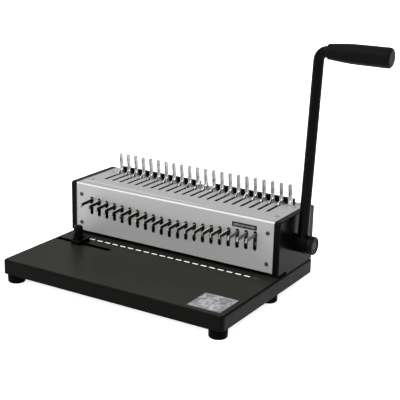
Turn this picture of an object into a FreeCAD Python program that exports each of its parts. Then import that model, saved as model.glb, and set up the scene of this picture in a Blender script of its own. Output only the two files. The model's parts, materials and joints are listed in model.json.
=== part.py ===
import FreeCAD, Part
import Sketcher
import os

# Manual comb binding machine: punch, comb opener and side lever.
#
# Working axes: X runs along the row of slots, Y runs from the operator towards
# the back, Z is up.  The working zero is the middle of the front slot row, at
# the outer face of the front panel, on top of the deck.  Every sub-part is
# built in those axes and its Placement moves it into the part's own frame,
# whose origin is under the middle of the whole machine, on the table.

V = FreeCAD.Vector
doc = FreeCAD.newDocument("CombBinder")
sheet = doc.addObject("Spreadsheet::Sheet", "Params")


class Q:
    """A number together with the sheet expression that gives it."""

    def __init__(self, s, v):
        self.s, self.v = s, float(v)

    @staticmethod
    def of(o):
        return o if isinstance(o, Q) else Q(repr(round(float(o), 6)), o)

    def __add__(self, o):
        o = Q.of(o)
        return Q("(%s + %s)" % (self.s, o.s), self.v + o.v)

    def __radd__(self, o):
        return Q.of(o) + self

    def __sub__(self, o):
        o = Q.of(o)
        return Q("(%s - %s)" % (self.s, o.s), self.v - o.v)

    def __rsub__(self, o):
        return Q.of(o) - self

    def __mul__(self, o):
        o = Q.of(o)
        return Q("(%s * %s)" % (self.s, o.s), self.v * o.v)

    def __rmul__(self, o):
        return Q.of(o) * self

    def __truediv__(self, o):
        o = Q.of(o)
        return Q("(%s / %s)" % (self.s, o.s), self.v / o.v)

    def __neg__(self):
        return Q("(0 - %s)" % self.s, -self.v)


class Sheet:
    """The driving dimensions.  Each becomes one aliased cell of the sheet."""
    row = 0

    def put(self, name, value, note=""):
        Sheet.row += 1
        n = Sheet.row
        sheet.set("A%d" % n, name)
        sheet.set("B%d" % n, repr(value))
        sheet.set("C%d" % n, note)
        sheet.setAlias("B%d" % n, name)
        q = Q("Params.%s" % name, value)
        setattr(self, name, q)
        return q


p = Sheet()

# frame
p.put("origin_x", -55.45, "shift from the working zero to the part frame")
p.put("origin_y", 23.5)
p.put("origin_z", 35.2)
# comb pitch and rows
p.put("pitch", 14.2875, "nine sixteenths of an inch, the comb pitch")
p.put("row_shift", -3.25, "punch row and top slots against the front slots")
p.put("tine_shift", 4.9, "tine row against the front slots")
# base tray
p.put("tray_left", 186.5, "the tray reaches further on the side of the guide")
p.put("tray_half", 183.5)
p.put("tray_front", -157.5)
p.put("tray_back", 110.5)
p.put("tray_drop", 21.7)
p.put("tray_sheet", 1.5)
p.put("tray_corner", 6.9)
p.put("tray_edge", 3.5)
p.put("foot_high", 13.5)
p.put("foot_rad", 12.9)
# cover
p.put("cover_half", 172.3)
p.put("cover_low", 6.45)
p.put("cover_top", 82.3)
p.put("cover_sheet", 1.2)
p.put("cover_back", 107.5)
p.put("cover_bend", 2.6)
p.put("slot_low", 25.9, "lowest slot, in the middle of the row")
p.put("slot_high", 54.9)
p.put("slot_wide", 5.9)
p.put("vee", 9.0, "rise of the punch row from its middle to its ends")
p.put("top_slot_front", 38.4)
p.put("top_slot_back", 80.4)
p.put("top_slot_wide", 4.9)
# end caps
p.put("cap_thick", 9.6)
p.put("cap_front", -0.9)
p.put("cap_back", 108.4)
p.put("cap_top", 82.9)
p.put("throat_deep", 25.0, "notch for the paper at the foot of both sides")
p.put("throat_high", 4.9)
# tines
p.put("tine_front", 82.5)
p.put("tine_thick", 2.5)
p.put("tine_top", 116.0)
p.put("tine_lean", 4.8, "how far a tine leans forward at its top")
p.put("tine_wide", 5.9)
p.put("tine_foot", 7.0)
p.put("bar_front", 88.6)
p.put("bar_deep", 5.4)
p.put("bar_high", 8.9)
# lever and shaft
p.put("axis_y", 49.5)
p.put("axis_z", 41.5)
p.put("lean", 4.37, "lean of the lever at rest, degrees")
p.put("shaft_rad", 6.0)
p.put("shaft_gap", 0.05)
p.put("arm_x", 192.75)
p.put("arm_rad", 7.7)
p.put("arm_wall", 2.0)
p.put("arm_bend", 13.0)
p.put("grip_high", 273.0, "grip centre line above the shaft axis")
p.put("grip_in", 206.0)
p.put("grip_end", 297.4)
p.put("hub_in", 183.5)
p.put("hub_out", 206.0)
p.put("hub_cap", 213.0)
p.put("hub_rad", 13.0)
# cranks
p.put("crank_turn", 37.5, "half of the lever's swing, degrees")
p.put("punch_throw", 15.0)
p.put("top_throw", 24.6)
p.put("pin_rad", 2.5)
# punch and die
p.put("punch_y", 15.0)
p.put("punch_long", 7.9)
p.put("punch_thick", 2.9)
p.put("punch_gap", 0.15)
p.put("punch_low", 6.2)
p.put("bar_low", 37.0)
p.put("bar_top", 51.6)
p.put("strip_low", 5.0)
p.put("strip_top", 17.0)
p.put("die_low", -9.0)
# pull tabs of the punch pins, and top hooks
p.put("tab_reach", 27.8)
p.put("tab_top", 50.8, "top of the middle tab at its tip")
p.put("tab_thick", 2.3)
p.put("top_hook_thick", 1.9)
# side guide
p.put("guide_x", -139.5)
p.put("guide_y", -37.5)
p.put("chip_front", 6.5)
p.put("chip_back", 44.0)

doc.recompute()

SUB = []          # every sub-part: (file name, object)


def bind(obj, path, q):
    obj.setExpression(path, Q.of(q).s)


def place(obj, x=0.0, y=0.0, z=0.0):
    """Placement from the working axes into the part frame."""
    obj.Placement = FreeCAD.Placement(V(p.origin_x.v + Q.of(x).v, p.origin_y.v + Q.of(y).v,
                                        p.origin_z.v + Q.of(z).v), obj.Placement.Rotation)
    bind(obj, "Placement.Base.x", p.origin_x + x)
    bind(obj, "Placement.Base.y", p.origin_y + y)
    bind(obj, "Placement.Base.z", p.origin_z + z)


def node(obj, label, shift=True):
    obj.Label = label
    if shift:
        place(obj)
    SUB.append((label, obj))
    return obj


# ---------------------------------------------------------------- primitives

def box(name, x0, x1, y0, y1, z0, z1):
    b = doc.addObject("Part::Box", name)
    x0, x1, y0, y1, z0, z1 = [Q.of(v) for v in (x0, x1, y0, y1, z0, z1)]
    bind(b, "Length", x1 - x0)
    bind(b, "Width", y1 - y0)
    bind(b, "Height", z1 - z0)
    bind(b, "Placement.Base.x", x0)
    bind(b, "Placement.Base.y", y0)
    bind(b, "Placement.Base.z", z0)
    return b


ALONG = {"x": FreeCAD.Rotation(V(0, 1, 0), 90), "y": FreeCAD.Rotation(V(1, 0, 0), -90),
         "z": FreeCAD.Rotation()}


def cyl(name, axis, r, a0, a1, u, w):
    """Cylinder along axis from a0 to a1; u and w are its two other coordinates."""
    c = doc.addObject("Part::Cylinder", name)
    a0, a1, u, w = [Q.of(v) for v in (a0, a1, u, w)]
    bind(c, "Radius", r)
    bind(c, "Height", a1 - a0)
    pos = {"x": (a0, u, w), "y": (u, a0, w), "z": (u, w, a0)}[axis]
    c.Placement = FreeCAD.Placement(V(*[q.v for q in pos]), ALONG[axis])
    for k, q in zip("xyz", pos):
        bind(c, "Placement.Base.%s" % k, q)
    return c


def cone(name, axis, r0, r1, a0, a1, u, w):
    c = doc.addObject("Part::Cone", name)
    a0, a1, u, w = [Q.of(v) for v in (a0, a1, u, w)]
    bind(c, "Radius1", r0)
    bind(c, "Radius2", r1)
    bind(c, "Height", a1 - a0)
    pos = {"x": (a0, u, w), "y": (u, a0, w), "z": (u, w, a0)}[axis]
    c.Placement = FreeCAD.Placement(V(*[q.v for q in pos]), ALONG[axis])
    for k, q in zip("xyz", pos):
        bind(c, "Placement.Base.%s" % k, q)
    return c


def fuse(name, *shapes):
    if len(shapes) == 1:
        return shapes[0]
    f = doc.addObject("Part::MultiFuse", name)
    f.Shapes = list(shapes)
    return f


def cut(name, base, *tools):
    c = doc.addObject("Part::Cut", name)
    c.Base = base
    c.Tool = tools[0] if len(tools) == 1 else group(name + "_tools", tools)
    return c


def group(name, shapes):
    g = doc.addObject("Part::Compound", name)
    g.Links = list(shapes)
    return g


def links(name, master, spots):
    """Copies of one master, each moved by (dx, dy, dz) and optionally turned."""
    out = []
    if master.TypeId in ("Part::Box", "Part::Cylinder"):
        # a link takes the place of its master's own placement, so wrap it
        master = group(name + "_master", [master])
    for n, spot in enumerate(spots):
        k = doc.addObject("App::Link", "%s_%d" % (name, n))
        k.LinkedObject = master
        if len(spot) > 3:
            k.Placement = FreeCAD.Placement(V(0, 0, 0), spot[3])
        for ax, q in zip("xyz", spot[:3]):
            bind(k, "Placement.Base.%s" % ax, q)
        out.append(k)
    return out


def block(label, *args):
    """A plain plate or bar as a sub-part of its own."""
    b = doc.addObject("Part::Compound", label)
    b.Links = [box(label + "_box", *args)]
    return b


# ---------------------------------------------------------------- part design

def body(label, shift=True):
    b = doc.addObject("PartDesign::Body", label)
    b.Label = label
    if shift:
        place(b)
    SUB.append((label, b))
    return b


def plane(b, role):
    for o in b.Origin.OriginFeatures:
        if o.Role == role:
            return o
    raise ValueError(role)


def sketch(b, name, role, offset=0.0):
    s = b.newObject("Sketcher::SketchObject", name)
    s.AttachmentSupport = [(plane(b, role), "")]
    s.MapMode = "FlatFace"
    bind(s, "AttachmentOffset.Base.z", offset)
    return s


def at(s, geo, pos, x, y):
    """Fix one point of the sketch from its origin by two named dimensions."""
    x, y = Q.of(x), Q.of(y)
    for kind, q in (("DistanceX", x), ("DistanceY", y)):
        n = s.addConstraint(Sketcher.Constraint(kind, -1, 1, geo, pos, q.v))
        nm = "%s%d_%d" % (kind[-1].lower(), geo, pos)
        s.renameConstraint(n, "d" + nm)
        bind(s, "Constraints.d" + nm, q)


def poly(s, pts):
    """Closed polygon, each corner held by two dimensions."""
    pts = [(Q.of(a), Q.of(b)) for a, b in pts]
    n0 = s.GeometryCount
    k = len(pts)
    for i in range(k):
        a, b = pts[i], pts[(i + 1) % k]
        s.addGeometry(Part.LineSegment(V(a[0].v, a[1].v, 0), V(b[0].v, b[1].v, 0)), False)
    for i in range(k):
        s.addConstraint(Sketcher.Constraint("Coincident", n0 + i, 2, n0 + (i + 1) % k, 1))
    for i in range(k):
        at(s, n0 + i, 1, *pts[i])
    return n0


def rect(s, x0, x1, y0, y1):
    return poly(s, [(x0, y0), (x1, y0), (x1, y1), (x0, y1)])


def ring(s, x, y, r):
    x, y, r = Q.of(x), Q.of(y), Q.of(r)
    n = s.addGeometry(Part.Circle(V(x.v, y.v, 0), V(0, 0, 1), r.v), False)
    k = s.addConstraint(Sketcher.Constraint("Radius", n, r.v))
    s.renameConstraint(k, "r%d" % n)
    bind(s, "Constraints.r%d" % n, r)
    at(s, n, 3, x, y)
    return n


def pad(b, s, name, length, reverse=False):
    f = b.newObject("PartDesign::Pad", name)
    f.Profile = s
    bind(f, "Length", length)
    f.Reversed = reverse
    b.Tip = f
    return f


def pocket(b, s, name, length, reverse=False):
    f = b.newObject("PartDesign::Pocket", name)
    f.Profile = s
    bind(f, "Length", length)
    f.Reversed = reverse
    b.Tip = f
    CUTS.append((b, f))
    return f


def row(b, feature, s, name, count, length, axis="H_Axis"):
    f = b.newObject("PartDesign::LinearPattern", name)
    f.Originals = [feature]
    f.Direction = (s, [axis])
    bind(f, "Length", length)
    f.Occurrences = count
    b.Tip = f
    return f


def revolve(b, s, name, axis="H_Axis"):
    f = b.newObject("PartDesign::Revolution", name)
    f.Profile = s
    f.ReferenceAxis = (s, [axis])
    f.Angle = 360.0
    b.Tip = f
    return f


def round_edges(b, name, radius, pick, chamfer=False):
    """Fillet or chamfer the edges of the tip that pick() accepts."""
    doc.recompute()
    base = b.Tip
    names = []
    for i, e in enumerate(base.Shape.Edges):
        if pick(e):
            names.append("Edge%d" % (i + 1))
    f = b.newObject("PartDesign::Chamfer" if chamfer else "PartDesign::Fillet", name)
    f.Base = (base, names)
    bind(f, "Size" if chamfer else "Radius", radius)
    b.Tip = f
    return f


CUTS = []


def near(a, b, tol=1e-4):
    return abs(a - b) < tol


def ends(e):
    return [v.Point for v in e.Vertexes]


# ================================================================= base tray
# One deep-drawn sheet: deck, four walls, rounded corners.
tray = body("base_tray")
s = sketch(tray, "tray_outline", "XY_Plane")
rect(s, -p.tray_left, p.tray_half, p.tray_front, p.tray_back)
pad(tray, s, "tray_block", p.tray_drop, reverse=True)
round_edges(tray, "tray_corners", p.tray_corner,
            lambda e: len(e.Vertexes) == 2 and near(ends(e)[0].x, ends(e)[1].x)
            and near(ends(e)[0].y, ends(e)[1].y))
round_edges(tray, "tray_rim", p.tray_edge,
            lambda e: all(near(v.z, 0.0) for v in ends(e)))
s = sketch(tray, "tray_inside", "XY_Plane", -p.tray_drop)
xl, xi, yf, yr, k = p.tray_left - p.tray_sheet, p.tray_half - p.tray_sheet, p.tray_front + p.tray_sheet, p.tray_back - p.tray_sheet, 4.2
poly(s, [(k - xl, yf), (xi - k, yf), (xi, yf + k), (xi, yr - k), (xi - k, yr), (k - xl, yr), (-xl, yr - k), (-xl, yf + k)])
pocket(tray, s, "tray_hollow", p.tray_drop - p.tray_sheet, reverse=True)
s = sketch(tray, "tray_openings", "XY_Plane")
# side guide slot, die opening
rect(s, -181.0, -81.0, p.guide_y - 4.8, p.guide_y + 4.8)
rect(s, -164.2, 164.2, 3.8, 26.2)
for sx in (-1, 1):
    for y in (42.0, 88.0):
        ring(s, sx * 163.5, y, 2.1)
pocket(tray, s, "tray_deck_cuts", 6.0)
s = sketch(tray, "chip_door", "YZ_Plane", -p.tray_left - 1.0)
rect(s, p.chip_front - 1.3, p.chip_back + 1.3, -20.5, -12.0)
pocket(tray, s, "chip_opening", 4.0, reverse=True)

# bottom plate, screwed up into the tray with the feet
plate = body("bottom_plate")
s = sketch(plate, "bottom_outline", "XY_Plane", -p.tray_drop)
rect(s, 1.8 - p.tray_left, p.tray_half - 1.8, p.tray_front + 1.8, p.tray_back - 1.8)
pad(plate, s, "bottom_sheet", 1.2)
round_edges(plate, "bottom_corners", 7.2,
            lambda e: len(e.Vertexes) == 2 and near(ends(e)[0].x, ends(e)[1].x)
            and near(ends(e)[0].y, ends(e)[1].y))
FEET = [(-171.8, -143.6), (169.8, -143.6), (-167.5, 1.0), (167.5, 1.0), (-140.0, 92.0), (140.0, 92.0)]
s = sketch(plate, "bottom_holes", "XY_Plane", -p.tray_drop)
for x, y in FEET:
    ring(s, x, y, 2.2)
pocket(plate, s, "foot_holes", 3.0, reverse=True)

# rubber foot: a turned pad with a neck, a bottom chamfer and a screw recess
foot = doc.addObject("PartDesign::Body", "foot_master")
s = sketch(foot, "foot_profile", "XZ_Plane")
R, H = p.foot_rad, p.foot_high
poly(s, [(2.3, 0.0), (R - 1.5, 0.0), (R - 1.5, -1.6), (R, -2.4), (R, 2.6 - H), (R - 0.3, 1.0 - H),
         (R - 1.3, -H), (5.2, -H), (5.2, 5.0 - H), (2.3, 5.0 - H)])
revolve(foot, s, "foot_turn", "V_Axis")
feet = group("rubber_feet", links("foot", foot, [(Q.of(x), Q.of(y), -p.tray_drop) for x, y in FEET]))
node(feet, "rubber_feet")

# foot screw: pan head up inside the recess, shank through foot and plate
fs = fuse("foot_screw_master", cyl("fsh", "z", 4.2, 2.7 - H, 5.0 - H, 0, 0), cyl("fss", "z", 2.1, 5.0 - H, 1.15, 0, 0))
fsc = cut("foot_screw_cut", fs, box("fsx", -3.0, 3.0, -0.5, 0.5, 2.0 - H, 3.8 - H),
          box("fsy", -0.5, 0.5, -3.0, 3.0, 2.0 - H, 3.8 - H))
# the head sits against the step of the recess
node(group("foot_screws", links("foot_screw", fsc, [(Q.of(x), Q.of(y), -p.tray_drop) for x, y in FEET])),
     "foot_screws")

# ================================================================= side guide
gx, gy = p.guide_x, p.guide_y
g = body("side_guide")
s = sketch(g, "guide_outline", "XY_Plane", 0.05)
rect(s, gx - 7.5, gx + 9.5, gy - 11.5, gy + 15.0)
pad(g, s, "guide_block", 6.8)
round_edges(g, "guide_corners", 2.0,
            lambda e: len(e.Vertexes) == 2 and near(ends(e)[0].x, ends(e)[1].x)
            and near(ends(e)[0].y, ends(e)[1].y) and ends(e)[0].x < gx.v)
s = sketch(g, "guide_relief_plan", "XY_Plane", 6.85)
rect(s, gx - 6.0, gx + 5.5, gy - 9.5, gy + 13.0)
pocket(g, s, "guide_relief", 1.6)
s = sketch(g, "guide_post_plan", "XY_Plane", 5.25)
ring(s, gx - 1.0, gy, 6.2)
pad(g, s, "guide_boss", 2.2)
round_edges(g, "guide_edges", 0.8,
            lambda e: all(near(v.z, 6.85) for v in ends(e)) and len(e.Vertexes) == 2
            and max(abs(v.x - gx.v) for v in ends(e)) > 7.0)
s = sketch(g, "guide_key_plan", "XY_Plane", 0.05)
rect(s, gx - 7.0, gx + 8.0, gy - 4.4, gy + 4.4)
pad(g, s, "guide_key", 1.5, reverse=True)
s = sketch(g, "guide_bore_plan", "XY_Plane", 12.0)
ring(s, gx - 1.0, gy, 2.1)
pocket(g, s, "guide_bore", 20.0)

# clamp screw with a fluted knob
knob = body("guide_knob", shift=False)
place(knob, gx - 1.0, gy, 0.0)
s = sketch(knob, "knob_profile", "XZ_Plane")
poly(s, [(0.0, -4.6), (2.05, -4.6), (2.05, 7.6), (6.9, 7.6), (7.4, 8.6), (7.1, 24.8), (6.3, 26.6), (4.2, 27.5), (0.0, 27.5)])
revolve(knob, s, "knob_turn", "V_Axis")
s = sketch(knob, "flute_plan", "XY_Plane", 8.8)
ring(s, 7.9, 0.0, 1.2)
f = pocket(knob, s, "flute", 15.0, reverse=True)
pp = knob.newObject("PartDesign::PolarPattern", "flutes")
pp.Originals = [f]
pp.Axis = (plane(knob, "Z_Axis"), [""])
pp.Angle = 360.0
pp.Occurrences = 12
knob.Tip = pp

# oblong nut under the deck
node(cut("guide_nut", box("gnb", gx - 6.0, gx + 4.0, gy - 8.0, gy + 8.0, -4.4, -1.75),
         cyl("gnh", "z", 2.1, -6.0, 0.0, gx - 1.0, gy)), "guide_nut")

# ================================================================= sight marks
# thin bright inlays on the deck, in line with the punches
marks = []
m0 = box("mark_master", -4.65, 4.65, -1.25, 1.25, 0.0, 0.22)
node(group("sight_marks", links("mark", m0, [((i - 10) * p.pitch + p.row_shift, Q.of(-13.4), Q.of(0.0))
                                             for i in range(1, 22)])), "sight_marks")

# ================================================================= side frames
def side_frame(label, side):
    """3 mm plate with folded flanges at the front, the top and the foot."""
    a = p.cover_half - 3.0
    def bx(n, i0, i1, y0, y1, z0, z1):
        i0, i1 = Q.of(i0), Q.of(i1)
        if side > 0:
            return box(label + n, i0, i1, y0, y1, z0, z1)
        return box(label + n, -i1, -i0, y0, y1, z0, z1)
    web = fuse(label + "_plate", bx("_web", a, p.cover_half, p.cover_sheet, 104.0, 0.0, 79.4),
               bx("_brow", a, p.cover_half, 2.8, 104.0, 79.4, p.cover_top - p.cover_sheet))
    fr = bx("_front", 158.0, a, p.cover_sheet, p.cover_sheet + 2.0, 8.0, 78.0)
    tp = fuse(label + "_top", bx("_top1", 161.0, a, 6.0, 100.0, p.cover_top - p.cover_sheet - 2.0, p.cover_top - p.cover_sheet),
              bx("_top2", 159.3, 162.0, 6.0, 83.0, p.cover_top - p.cover_sheet - 2.0, p.cover_top - p.cover_sheet))
    ft = bx("_foot", 158.0, a, 30.0, 100.0, 0.0, 2.0)
    solid = fuse(label + "_solid", web, fr, tp, ft)
    tools = []
    x0, x1 = (Q.of(side * 150.0), Q.of(side * 180.0))
    if side < 0:
        x0, x1 = x1, x0
    tools.append(cyl(label + "_bush_hole", "x", 8.5, x0, x1, p.axis_y, p.axis_z))
    for k, z in enumerate((19.2, 64.6)):
        tools.append(cyl(label + "_fs%d" % k, "y", 1.55, 0.0, 6.0, side * 162.5, z))
    for k, y in enumerate((27.0, 79.6)):
        tools.append(cyl(label + "_ts%d" % k, "z", 1.55, 78.0, 85.0, side * 162.0, y))
    for k, y in enumerate((42.0, 88.0)):
        tools.append(cyl(label + "_ds%d" % k, "z", 2.1, -1.0, 4.0, side * 163.5, y))
    for k, (y, z) in enumerate(((96.0, 24.0), (97.0, 66.0))):
        tools.append(cyl(label + "_tr%d" % k, "x", 2.6, x0, x1, y, z))
    for k, (y, z) in enumerate(((14.0, 12.0), (96.0, 12.0), (14.0, 72.0), (84.0, 60.0))):
        tools.append(cyl(label + "_cs%d" % k, "x", 2.1, x0, x1, y, z))
    # open foot at the front, so that long paper can pass under the panel
    tools.append(box(label + "_throat", x0, x1, -2.0, p.throat_deep, -1.0, p.throat_high))
    # lightening window behind the shaft, as stamped frames have
    wx0, wx1 = (Q.of(168.0), Q.of(174.0)) if side > 0 else (Q.of(-174.0), Q.of(-168.0))
    tools.append(box(label + "_win", wx0, wx1, 72.0, 88.0, 22.0, 46.0))
    return node(cut(label, solid, *tools), label)


side_frame("side_frame_left", -1)
side_frame("side_frame_right", 1)

# frame-to-deck screws
fd = fuse("deck_screw_master", cyl("dsh", "z", 3.8, 2.0, 4.2, 0, 0), cyl("dss", "z", 2.0, -4.0, 2.0, 0, 0))
fdc = cut("deck_screw_cut", fd, box("dsx", -2.6, 2.6, -0.45, 0.45, 3.0, 5.0), box("dsy", -0.45, 0.45, -2.6, 2.6, 3.0, 5.0))
node(group("deck_screws", links("deck_screw", fdc, [(Q.of(sx * 163.5), Q.of(y), Q.of(0.0))
                                                    for sx in (-1, 1) for y in (42.0, 88.0)])), "deck_screws")

# tie rods between the frames
rods = []
for n, (y, z) in enumerate(((96.0, 24.0), (97.0, 66.0))):
    rods.append(fuse("tie_rod_%d" % n, cyl("tr%d" % n, "x", 4.5, 3.0 - p.cover_half, p.cover_half - 3.0, y, z),
                     cyl("trs%d" % n, "x", 2.55, -p.cover_half - 1.5, p.cover_half + 1.5, y, z)))
node(group("tie_rods", rods), "tie_rods")

# flanged shaft bushes
def bush(n, side):
    a = p.cover_half - 3.0
    lo = (a - 1.6, a) if side > 0 else (-a, 1.6 - a)
    hi = (a, p.cover_half + 0.6) if side > 0 else (-p.cover_half - 0.6, -a)
    return cut("bush_%d" % n, fuse("bush_%d_b" % n, cyl("bf%d" % n, "x", 11.0, lo[0], lo[1], p.axis_y, p.axis_z),
                                   cyl("bb%d" % n, "x", 8.5, hi[0], hi[1], p.axis_y, p.axis_z)),
               cyl("bh%d" % n, "x", p.shaft_rad + p.shaft_gap, -190.0, 190.0, p.axis_y, p.axis_z))


node(group("shaft_bushes", [bush(0, -1), bush(1, 1)]), "shaft_bushes")

# ================================================================= end caps
# Black plastic covers with a rim, hollow towards the frame, four screw bosses.
def end_cap(label, side):
    b = body(label)
    out = p.cover_half + p.cap_thick
    # outline drawn on the YZ plane
    s = sketch(b, label + "_outline", "YZ_Plane", p.cover_half if side > 0 else -out)
    rect(s, p.cap_front, p.cap_back, 0.0, p.cap_top)
    pad(b, s, label + "_block", p.cap_thick)
    round_edges(b, label + "_top_corners", 4.0,
                lambda e: len(e.Vertexes) == 2 and near(ends(e)[0].y, ends(e)[1].y)
                and near(ends(e)[0].z, ends(e)[1].z) and near(ends(e)[0].z, p.cap_top.v))
    face = (out.v if side > 0 else -out.v)
    round_edges(b, label + "_rim_round", 1.4,
                lambda e: all(near(v.x, face) for v in ends(e)) and not all(near(v.z, 0.0) for v in ends(e)))
    s = sketch(b, label + "_hollow_plan", "YZ_Plane", p.cover_half if side > 0 else -p.cover_half)
    rect(s, p.cap_front + 2.4, p.cap_back - 2.4, 2.4, p.cap_top - 2.4)
    pocket(b, s, label + "_hollow", p.cap_thick - 2.6, reverse=(side > 0))
    s = sketch(b, label + "_bosses", "YZ_Plane", p.cover_half if side > 0 else -p.cover_half)
    for y, z in ((14.0, 12.0), (96.0, 12.0), (14.0, 72.0), (84.0, 60.0)):
        ring(s, y, z, 4.2)
    pad(b, s, label + "_boss_pads", p.cap_thick - 2.0, reverse=(side < 0))
    if side > 0:
        s = sketch(b, label + "_collar", "YZ_Plane", out)
        ring(s, p.axis_y, p.axis_z, 13.4)
        pad(b, s, label + "_collar_pad", 1.0)
        round_edges(b, label + "_collar_round", 0.4,
                    lambda e: all(near(v.x, out.v + 1.0) for v in ends(e)))
        s = sketch(b, label + "_shaft_plan", "YZ_Plane", out + 3.0)
        ring(s, p.axis_y, p.axis_z, 6.6)
        pocket(b, s, label + "_shaft_hole", 16.0)
    s = sketch(b, label + "_throat_plan", "YZ_Plane", out + 1.0 if side > 0 else -out - 1.0)
    rect(s, p.cap_front - 2.0, p.throat_deep, -1.0, p.throat_high)
    pocket(b, s, label + "_throat", p.cap_thick + 2.0, reverse=(side < 0))
    s = sketch(b, label + "_boss_holes", "YZ_Plane", p.cover_half if side > 0 else -p.cover_half)
    for y, z in ((14.0, 12.0), (96.0, 12.0), (14.0, 72.0), (84.0, 60.0)):
        ring(s, y, z, 1.6)
    pocket(b, s, label + "_screw_holes", 6.0, reverse=(side > 0))
    return b


end_cap("end_cap_left", -1)
end_cap("end_cap_right", 1)

# end cap screws: heads inside the frames
cs = fuse("cap_screw_master", cyl("csh", "x", 3.6, -2.0, 0.0, 0, 0), cyl("css", "x", 1.55, 0.0, 8.2, 0, 0))
csc = cut("cap_screw_cut", cs, box("csx", -3.0, -1.0, -2.4, 2.4, -0.4, 0.4), box("csy", -3.0, -1.0, -0.4, 0.4, -2.4, 2.4))
spots = []
flip = FreeCAD.Rotation(V(0, 0, 1), 180)
for y, z in ((14.0, 12.0), (96.0, 12.0), (14.0, 72.0), (84.0, 60.0)):
    spots.append((p.cover_half - 3.0, Q.of(y), Q.of(z)))
    spots.append((3.0 - p.cover_half, Q.of(y), Q.of(z), flip))
node(group("end_cap_screws", links("cap_screw", csc, spots)), "end_cap_screws")

# ================================================================= cover
# Front panel, top and a short rear lip folded from one sheet, then punched.
cov = body("front_top_cover")
s = sketch(cov, "cover_section", "YZ_Plane", -p.cover_half)
T, ct = p.cover_top, p.cover_sheet
poly(s, [(0.0, p.cover_low), (ct, p.cover_low), (ct, T - ct), (p.cover_back - ct, T - ct), (p.cover_back - ct, T - 11.0),
         (p.cover_back, T - 11.0), (p.cover_back, T), (0.0, T)])
pad(cov, s, "cover_sheet_pad", p.cover_half * 2)
round_edges(cov, "cover_bends_out", p.cover_bend,
            lambda e: len(e.Vertexes) == 2 and near(ends(e)[0].z, T.v) and near(ends(e)[1].z, T.v)
            and near(ends(e)[0].y, ends(e)[1].y) and (near(ends(e)[0].y, 0.0) or near(ends(e)[0].y, p.cover_back.v)))
round_edges(cov, "cover_bends_in", p.cover_bend - ct,
            lambda e: len(e.Vertexes) == 2 and near(ends(e)[0].z, (T - ct).v) and near(ends(e)[1].z, (T - ct).v)
            and near(ends(e)[0].y, ends(e)[1].y) and (near(ends(e)[0].y, ct.v) or near(ends(e)[0].y, (p.cover_back - ct).v)))
# front slots, rounded at both ends, in a shallow vee: the punches strike one after
# another from the middle outwards, so each slot follows the height of its own pin
s = sketch(cov, "front_slot_plan", "XZ_Plane", 1.0)
hw = p.slot_wide / 2
x0 = -10 * p.pitch


def stadium(s, x, y0, y1, half):
    """Upright slot outline: two lines and two half circles."""
    x, y0, y1, half = [Q.of(v) for v in (x, y0, y1, half)]
    n = s.GeometryCount
    a, b = y0 + half, y1 - half
    s.addGeometry(Part.LineSegment(V(x.v + half.v, a.v, 0), V(x.v + half.v, b.v, 0)), False)
    s.addGeometry(Part.ArcOfCircle(Part.Circle(V(x.v, b.v, 0), V(0, 0, 1), half.v), 0.0, 3.141592653589793), False)
    s.addGeometry(Part.LineSegment(V(x.v - half.v, b.v, 0), V(x.v - half.v, a.v, 0)), False)
    s.addGeometry(Part.ArcOfCircle(Part.Circle(V(x.v, a.v, 0), V(0, 0, 1), half.v), 3.141592653589793, 6.283185307179586), False)
    s.addConstraint(Sketcher.Constraint("Tangent", n, 2, n + 1, 1))
    s.addConstraint(Sketcher.Constraint("Tangent", n + 1, 2, n + 2, 1))
    s.addConstraint(Sketcher.Constraint("Tangent", n + 2, 2, n + 3, 1))
    s.addConstraint(Sketcher.Constraint("Tangent", n + 3, 2, n, 1))
    at(s, n + 1, 3, x, b)
    at(s, n + 3, 3, x, a)
    k = s.addConstraint(Sketcher.Constraint("Radius", n + 1, half.v))
    s.renameConstraint(k, "rad%d" % n)
    bind(s, "Constraints.rad%d" % n, half)
    return n


for i in range(21):
    up = p.vee * (abs(i - 10) / 10.0)
    stadium(s, (i - 10) * p.pitch, p.slot_low + up, p.slot_high + up, hw)
pocket(cov, s, "front_slots", 4.0)
# top slots
s = sketch(cov, "top_slot", "XY_Plane", T + 1.0)
stadium(s, x0 + p.row_shift, p.top_slot_front, p.top_slot_back, p.top_slot_wide / 2)
f = pocket(cov, s, "top_slot_cut", 4.0)
row(cov, f, s, "top_slots", 21, 20 * p.pitch)
# tine holes
s = sketch(cov, "tine_hole", "XY_Plane", T + 1.0)
tx0 = -10.5 * p.pitch + p.tine_shift
rect(s, tx0 - p.tine_foot / 2 - 0.3, tx0 + p.tine_foot / 2 + 0.3, p.tine_front - 1.1, p.tine_front + p.tine_thick + 0.3)
f = pocket(cov, s, "tine_hole_cut", 4.0)
row(cov, f, s, "tine_holes", 22, 21 * p.pitch)
# screw holes
s = sketch(cov, "front_screw_holes", "XZ_Plane", 1.0)
for sx in (-1, 1):
    for z in (19.2, 64.6):
        ring(s, sx * 162.5, z, 1.7)
pocket(cov, s, "front_holes", 4.0)
s = sketch(cov, "top_screw_holes", "XY_Plane", T + 1.0)
for sx in (-1, 1):
    for y in (27.0, 79.6):
        ring(s, sx * 162.0, y, 1.7)
for x in (-120.0, -34.0, 52.0, 130.0):
    ring(s, x, p.bar_front + p.bar_deep / 2, 1.9)
pocket(cov, s, "top_holes", 4.0)
s = sketch(cov, "rear_screw_holes", "XZ_Plane", -p.cover_back - 1.0)
for x in (-150.0, -50.0, 50.0, 150.0):
    ring(s, x, 76.0, 1.7)
pocket(cov, s, "rear_holes", 4.0, reverse=True)

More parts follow.
